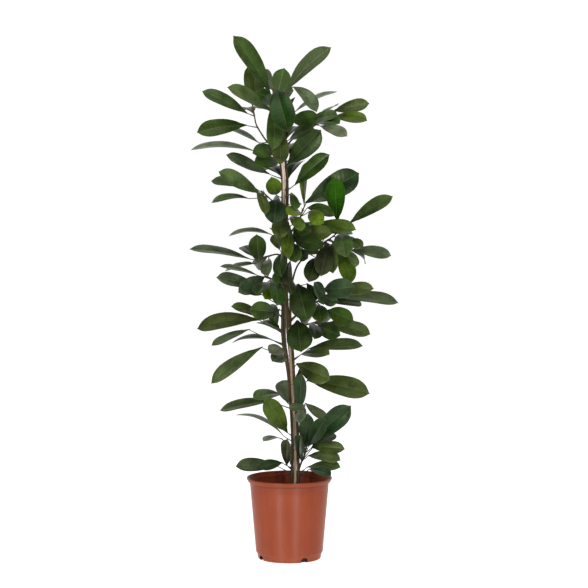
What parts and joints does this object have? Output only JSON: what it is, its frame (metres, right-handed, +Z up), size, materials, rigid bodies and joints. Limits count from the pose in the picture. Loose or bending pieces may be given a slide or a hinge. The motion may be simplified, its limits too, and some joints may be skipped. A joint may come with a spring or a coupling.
{
  "type": "potted african fig",
  "caption": "Tall bushy African fig with broad glossy leaves on thin woody stems round a support cane, in a round tapered plastic nursery pot.",
  "frame": {"origin": "centre of the pot's flat base, where it stands on the floor", "axes": "+Z up along the stems and cane, +X to the right as seen from the front, -Y towards the viewer"},
  "size_m": [0.5836, 0.3623, 1.4618],
  "materials": {
    "pot": "satin terracotta-coloured plastic",
    "soil": null,
    "cane": "pale tan bamboo, satin",
    "fig_left": "living plant: glossy dark green leaves on dark brown wood",
    "fig_right": "living plant: glossy dark green leaves on dark brown wood"
  },
  "bodies": {
    "root": {"pot": "pot", "soil": "soil", "cane": "cane", "fig_stem_left": "fig_left", "fig_stem_right": "fig_right"}
  },
  "joints": []
}
